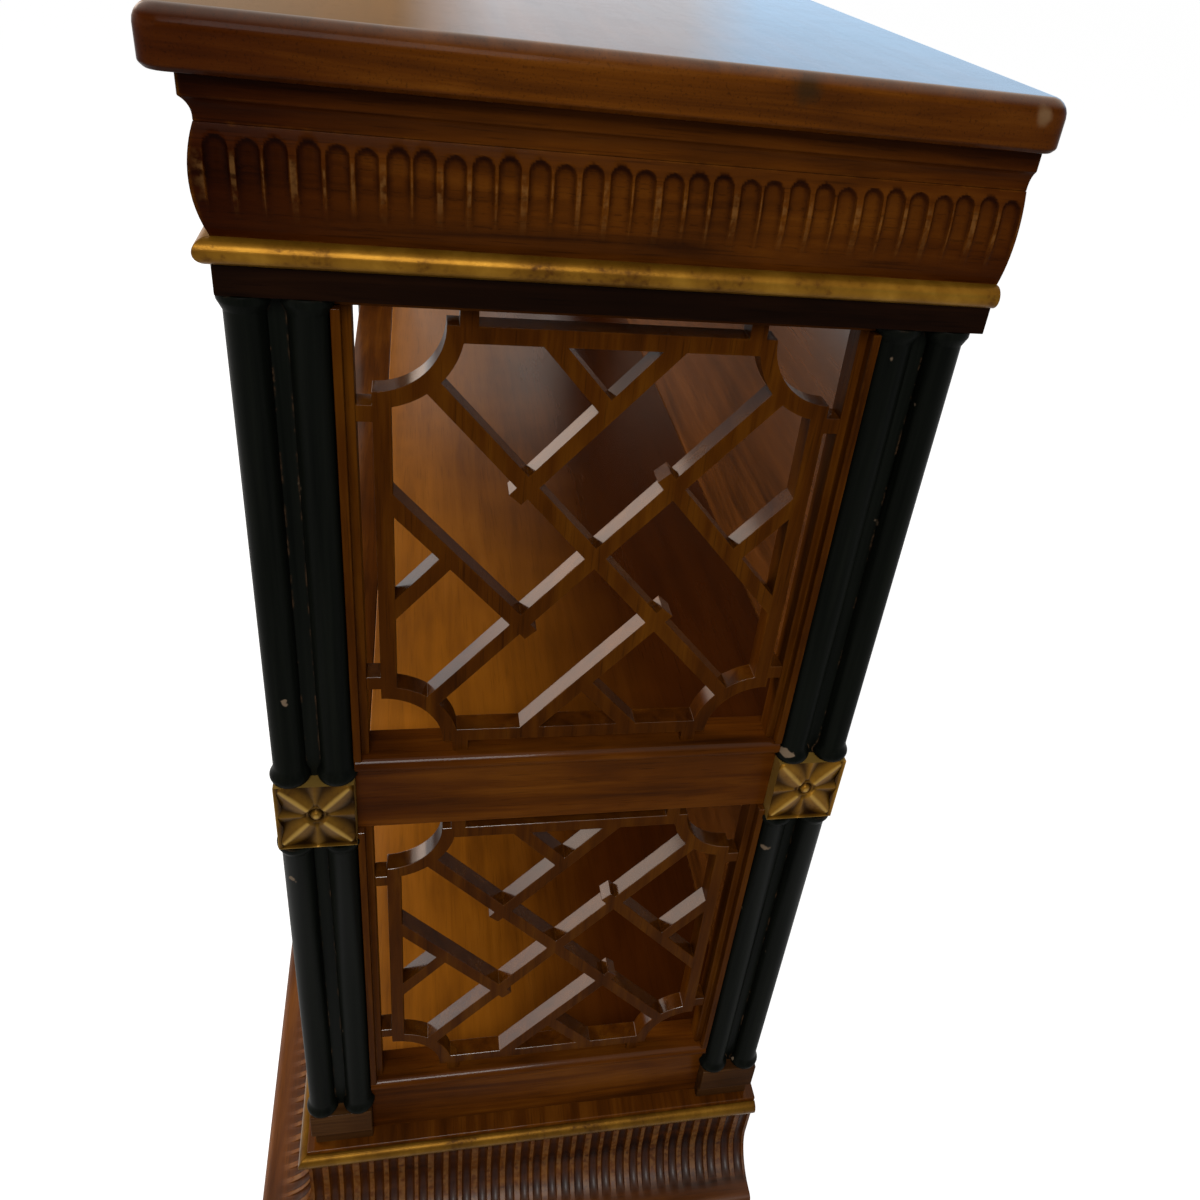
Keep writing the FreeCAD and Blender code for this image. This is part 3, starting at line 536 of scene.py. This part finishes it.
def column(node, bottom, top, finish):
    """Four shafts round a core between two levels. Each foot swells out like a bell and rolls under to the
    block, and the head ring is a flat band that slopes in below."""
    low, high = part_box(node)
    middle = (low + high) / 2
    off = (high.x - low.x) / 2 - SHAFT_RADIUS
    foot, head = np.array(FOOT_BELL) / 1000, np.array(HEAD_RING) / 1000
    profile = np.vstack([np.stack([SHAFT_RADIUS + foot[:, 0], bottom + foot[:, 1]], -1),
                         [[SHAFT_RADIUS, (bottom + top) / 2]],
                         np.stack([SHAFT_RADIUS + head[:, 0], top - head[:, 1]], -1)])
    shells = [turned((middle.x + off * sx, middle.y + off * sy), profile)
              for sx in (-1, 1) for sy in (-1, 1)]
    core = off - 0.0002
    shells.append(squared((middle.x - core, middle.y - core, bottom), (middle.x + core, middle.y + core, top)))
    made_of(node + "_turned", shells, finish, "ebonised", [node], 45)


black = ebonised("ebonised_shafts")
for corner in corners:
    rosette_low, rosette_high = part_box("rosette_block_" + corner)
    column("lower_column_" + corner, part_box("plinth_block_" + corner)[1].z, rosette_low.z, black)
    column("upper_column_" + corner, rosette_high.z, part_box("fascia_right")[0].z, black)


# Rosette blocks: a square block between the two columns of each corner. Its two outer faces are carved with a
# four-leaved flower on a sunk ground and gilt, with painted shade in the cuts and a painted highlight on the
# crests.
ROSETTE_RELIEF = 0.0042
ROSETTE_STEPS = 72


def flower(across, up):
    """Relief from 0 on the ground to 1 on the highest places, for places from -1 to 1 across and up.

    A boss stands in the middle in a ring. Four leaves run out along the diagonals: each rises like a roof to a
    ridge on its middle line, and its width swells and closes again along the radius. A lower, pointed lobe with
    its own ridge lies between each two leaves."""
    radius = np.hypot(across, up)
    angle = np.arctan2(up, across)
    to_leaf = angle % (np.pi / 2) - np.pi / 4
    beside, outwards = radius * np.abs(np.sin(to_leaf)), radius * np.cos(to_leaf)
    width = 0.42 * np.sin(np.pi * np.clip((outwards + 0.05) / 1.5, 0, 1)) ** 0.6
    leaf = np.clip(1.02 - beside / np.maximum(width, 1e-6), 0, 1) ** 0.75
    leaf *= np.clip((outwards - 0.16) * 8, 0, 1) * np.clip((1.42 - outwards) * 5, 0, 1)
    to_lobe = (angle + np.pi / 4) % (np.pi / 2) - np.pi / 4
    beside, outwards = radius * np.abs(np.sin(to_lobe)), radius * np.cos(to_lobe)
    lobe = 0.7 * np.clip(1 - beside / (0.26 * np.clip(outwards * 1.1, 0.05, 1)), 0, 1) ** 0.7
    lobe *= np.clip((outwards - 0.2) * 6, 0, 1)
    ring = 0.5 * np.exp(-((radius - 0.23) / 0.04) ** 2)
    boss = np.clip(1 - (radius / 0.16) ** 2, 0, 1) ** 0.5
    return np.maximum.reduce([leaf, lobe, ring, boss])


def carved_block(node, finish):
    """The block as four sides round it and two flat ends; on the two outer sides the surface stands in from
    the block's face by the relief times what the flower leaves."""
    low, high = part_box(node)
    middle, half = (low + high) / 2, (high - low) / 2
    from_centre = (middle.x, middle.y - posts_middle)
    steps = np.linspace(-1, 1, ROSETTE_STEPS)
    across, up = np.meshgrid(steps, steps, indexing="ij")
    rim = np.clip((1 - np.maximum(np.abs(across), np.abs(up))) * ROSETTE_STEPS / 2, 0, 1)
    ground = (1 - flower(across, up)) * rim
    side_faces = grid_faces(ROSETTE_STEPS, ROSETTE_STEPS, False).tolist()
    shells, hollows = [], []
    for axis, sign in ((0, 1), (1, 1), (0, -1), (1, -1)):
        cut = ground if from_centre[axis] * sign > 0 else np.zeros_like(ground)
        surface = [middle.x + half.x * across, middle.y + half.y * across, middle.z + half.z * up]
        surface[axis] = middle[axis] + sign * (half[axis] - ROSETTE_RELIEF * cut)
        shells.append((np.stack(surface, -1), side_faces))
        hollows.append(cut.ravel())
    lid = [(low.x, low.y), (high.x, low.y), (high.x, high.y), (low.x, high.y)]
    for z in (low.z, high.z):
        shells.append(([(x, y, z) for x, y in lid], [[0, 1, 2, 3]]))
        hollows.append(np.zeros(4))
    made_of(node + "_carved", shells, finish, "gilt", [node], 60, np.concatenate(hollows), merged=1e-6)


# The front blocks' gilt is toned darker than the back ones' as painted shade.
lit_and_shaded_rosette_gilt = {"front": toned_gilt("front_rosette_gilt_painted_shade", away=(3, 1, 2), tone=0.4, crest_highlight=0.5),
                "back": toned_gilt("back_rosette_gilt", away=(1, 3, 2), tone=0.7, crest_highlight=0.5)}
for corner in corners:
    carved_block("rosette_block_" + corner, lit_and_shaded_rosette_gilt[corner.split("_")[0]])


# End rails: plain rails tenoned between the foot blocks and between the rosette blocks, flush with neither.
# A bead is run along the top edge of each. Like the mouldings and the slab, they are painted darker towards the
# corners as shade.
PAINTED_SHADE_TO_THE_CORNERS = ((0.3, 0.16, 0.12), 0.03, 0.06, 0.26)
moulding_wood = {grain: stained_wood("moulding_" + grain, grain, **CARCASE, painted_depth_shade=PAINTED_SHADE_TO_THE_CORNERS)
                 for grain in "xy"}
for level in ("bottom", "mid"):
    for end in ("left", "right"):
        eased(f"{level}_rail_{end}", moulding_wood["y"], "polished_wood", ease=0.0008)


# Fretwork: an open lattice of bars with hollow corners in each end opening, halved where the bars cross and glued
# up as one panel. Upright stepped strips hold it between the columns.
fret_wood = stained_wood("fret_wood", "z", (0.014, 0.0032, 0.0003), (0.048, 0.0125, 0.0007), (0.1, 0.032, 0.002),
                         polish=0.32, coat=1.0, away=(2, 2, 2), walls=0.0, bright=1.85, blurred=0.15)
for bay in ("upper", "lower"):
    for end in ("left", "right"):
        eased(f"fret_{bay}_{end}", fret_wood, "polished_wood", ease=0.0007)
        eased(f"fret_strips_{bay}_{end}", fret_wood, "polished_wood", ease=0.0007)


# Inside: the floor of the lower bay, the middle shelf, the soffit over the upper bay and the thin back, housed and
# rebated into the posts and rails. Less stain reached them, and their colour is also painted paler as light from
# the open front and painted darker towards the back as shade. The core frame and glue blocks under the slab and
# the shelves' front rails have the carcass's stain.
INSIDE = {"deep": (0.11, 0.032, 0.003), "middle": (0.3, 0.1, 0.006), "light": (0.44, 0.162, 0.016)}
# Painted shade: the inside wood darkens towards the back.
PAINTED_SHADE_TO_THE_BACK = ((0.13, 0.085, 0.08), -0.2, 0.03, 0.32)
inside_wood = stained_wood("inside_x", "x", **INSIDE, polish=0.4, coat=0.9, figure=0.6, walls=1.0, blurred=0.25,
                           painted_depth_shade=PAINTED_SHADE_TO_THE_BACK)
back_wood = stained_wood("back_wood", "x", (0.03, 0.009, 0.001), (0.1, 0.03, 0.004), (0.17, 0.055, 0.01),
                         polish=0.4, coat=1.0, walls=1.0, bright=1.6, blurred=0.2, inner=True)
eased("back_panel", back_wood, "panel_wood", ease=0.0006)
for node in ("bottom_board", "shelf_panel", "soffit_board"):
    eased(node, inside_wood, "panel_wood", ease=0.0006)
for node in ("glue_blocks", "top_rail_front", "top_rail_back"):
    eased(node, carcase["x"], "panel_wood", ease=0.0006)
for node in ("top_rail_left", "top_rail_right"):
    eased(node, carcase["y"], "panel_wood", ease=0.0006)
for node in ("bottom_front_rail", "shelf_front_rail"):
    eased(node, carcase["x"], "polished_wood", ease=0.001)


# Mouldings under the slab, from the columns upwards: a flat fascia, a gilt half-round, the carved frieze and a
# cove. Each is three lengths mitred at the front corners and planted on the core frame.
FRIEZE_FLUTE_HALF = 0.0053
FRIEZE_FLUTE_DEPTH = 0.0026
FRIEZE_RADIUS = 0.072
DOWN_THE_FRIEZE = np.array([0, 0.04, 0.08, 0.088, 0.097, 0.112, 0.132, 0.158, 0.19, 0.26, 0.34, 0.42, 0.5, 0.58,
                            0.66, 0.74, 0.82, 0.9, 1])
bead_gilt = toned_gilt("bead_gilt")
fascia_wood = {grain: stained_wood("fascia_" + grain, grain, (0.002, 0.0008, 0.0003), (0.0065, 0.0022, 0.0008),
                                   (0.018, 0.006, 0.002), polish=0.4, coat=0.2) for grain in "xy"}
for side, grain in grain_along.items():
    eased("fascia_" + side, fascia_wood[grain], "polished_wood", ease=0.0006)
    eased("upper_bead_" + side, bead_gilt, "gilt", ease=0.0004)
    eased("cornice_" + side, moulding_wood[grain], "polished_wood", ease=0.0006)


def bulge(low, high, radius, shares):
    """Points at those shares of the angle of an arc that swells outwards from low to high."""
    low, high = np.array(low), np.array(high)
    chord = high - low
    length = np.linalg.norm(chord)
    inwards = np.array([-chord[1], chord[0]]) / length
    centre = (low + high) / 2 + inwards * math.sqrt(radius ** 2 - length ** 2 / 4)
    start = math.atan2(*(low - centre)[::-1])
    end = math.atan2(*(high - centre)[::-1])
    angle = start + (end - start) * shares
    return np.stack([centre[0] + radius * np.cos(angle), centre[1] + radius * np.sin(angle)], -1)


frieze_low, frieze_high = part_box("frieze_right")
frieze_face = bulge((0, frieze_low.z), (0.0015, frieze_high.z), FRIEZE_RADIUS, 1 - DOWN_THE_FRIEZE)
frieze_back = np.array([[-0.012, frieze_low.z], [-0.012, frieze_high.z]])
# The frieze's flutes get painted shade by their walls and heads and a painted highlight on the ribs; its stain is
# painted darker towards the corners as shade.
for side, grain in grain_along.items():
    fluted("frieze_" + side, side, frieze_face, frieze_back, FRIEZE_FLUTE_DEPTH, moulding_wood[grain],
           half_width=FRIEZE_FLUTE_HALF, zone=(0.0045, 0.0445), run_out=0.6, wax=(0.65, 0.2, 1.0))


# Slab: one thick board with rounded corners and eased edges, screwed up through the core frame.
# Its top is the best polished surface of the cabinet. A dark scuff and a pale chip mark its right end.
SCUFF = ((0.621, 0.0915, 1.0395), 0.010, (0.022, 0.012, 0.004))
CHIP = ((0.62, 0.2161, 1.0380), 0.006, (0.15, 0.085, 0.04))
# Painted shade darkens the slab's stain towards its front and back edges.
slab_wood = stained_wood("slab_wood", "x", (0.022, 0.005, 0.0008), (0.085, 0.023, 0.0015), (0.17, 0.056, 0.005),
                         polish=0.26, coat=1.0, crossed=True, painted_depth_shade=PAINTED_SHADE_TO_THE_CORNERS, knocks=(SCUFF, CHIP))
eased("top_slab", slab_wood, "polished_wood", ease=0.0008)


# Floor and light: a plain floor and an even room that the camera sees as white, and that the polish mirrors as a
# warm wall beside a cool window. One soft warm lamp stands before the open front, and one above the end.
WHITE = (1, 1, 1, 1)
FLOOR_REACH = 60
FLOOR_COLOUR = (0.4, 0.4, 0.4, 1)
FLOOR_GLOW = 0.86
ROOM_LIGHT = (0.34, 0.34, 0.34, 1)
ROOM_SIDES = ((0.28, (2.4, 1.95, 1.65)), (0.33, (0.55, 0.4, 0.28)), (0.49, (0.36, 0.22, 0.11)),
              (0.53, (0.75, 0.75, 0.78)), (0.61, (0.72, 0.74, 0.79)), (0.64, (0.62, 0.87, 1.15)))
ROOM_HIGHER_UP = (1, 0.86, 0.74, 1)


def seen_directly(tree):
    """1 for camera, glossy and transmission rays, and 0 for the light that falls on things."""
    rays = tree.nodes.new("ShaderNodeLightPath")
    camera_ray = Field(rays.outputs["Is Camera Ray"])
    glossy_ray = Field(rays.outputs["Is Glossy Ray"])
    through_ray = Field(rays.outputs["Is Transmission Ray"])
    return camera_ray.math("MINIMUM", camera_ray + glossy_ray + through_ray, 1.0)


def studio_floor():
    """A wide pale floor. What the camera and reflections see is lifted to white, with the shadow kept."""
    mesh = bpy.data.meshes.new("floor")
    mesh.from_pydata([(-FLOOR_REACH, -FLOOR_REACH, 0), (FLOOR_REACH, -FLOOR_REACH, 0),
                      (FLOOR_REACH, FLOOR_REACH, 0), (-FLOOR_REACH, FLOOR_REACH, 0)], [], [(0, 1, 2, 3)])
    floor = bpy.data.objects.new("floor", mesh)
    bpy.context.scene.collection.objects.link(floor)
    material = bpy.data.materials.new("pale_floor")
    material.use_nodes = True
    tree = material.node_tree
    tree.nodes.clear()
    seen = seen_directly(tree)
    diffuse = seen.node("ShaderNodeBsdfDiffuse", {}, {"Color": FLOOR_COLOUR})
    glow = seen.node("ShaderNodeEmission", {}, {"Color": WHITE, "Strength": seen * FLOOR_GLOW})
    total = seen.node("ShaderNodeAddShader", {}, {0: diffuse, 1: glow})
    output = tree.nodes.new("ShaderNodeOutputMaterial")
    tree.links.new(total.socket, output.inputs["Surface"])
    mesh.materials.append(material)


studio_floor()
bpy.context.scene.view_settings.view_transform = "Standard"
world = bpy.data.worlds.new("pale_room")
bpy.context.scene.world = world
world.use_nodes = True
room = world.node_tree
by_camera = Field(room.nodes.new("ShaderNodeLightPath").outputs["Is Camera Ray"])
towards = Field(room.nodes.new("ShaderNodeTexCoord").outputs["Generated"])
sides = (towards.part("Y") * 0.5 + 0.5).ramp(*ROOM_SIDES)
mirrored_room = sides.blended(ROOM_HIGHER_UP, towards.part("Z").between(0.18, 0.4))
seen_room = mirrored_room.blended(WHITE, by_camera)
whole_room = seen_room.blended(ROOM_LIGHT, 1 - seen_directly(room))
room.links.new(whole_room.socket, room.nodes["Background"].inputs["Color"])


def soft_lamp(name, place, aim, size, power, colour=(1, 1, 1), mirrored=True):
    """A square soft lamp at a place, turned towards a point. Polish may mirror it or not."""
    lamp = bpy.data.lights.new(name, "AREA")
    lamp.size = size
    lamp.energy = power
    lamp.color = colour
    lamp_object = bpy.data.objects.new(name, lamp)
    bpy.context.scene.collection.objects.link(lamp_object)
    lamp_object.location = place
    lamp_object.visible_glossy = mirrored
    lamp_object.rotation_euler = (Vector(aim) - Vector(place)).to_track_quat("-Z", "Y").to_euler()


soft_lamp("before_the_front", place=(-0.6, -2.2, 1.7), aim=(0, 0, 0.5), size=1.4, power=70,
          colour=(1, 0.93, 0.86), mirrored=False)
soft_lamp("by_the_end", place=(2.8, -0.3, 2.6), aim=(0.5, 0, 0.6), size=1.2, power=62)
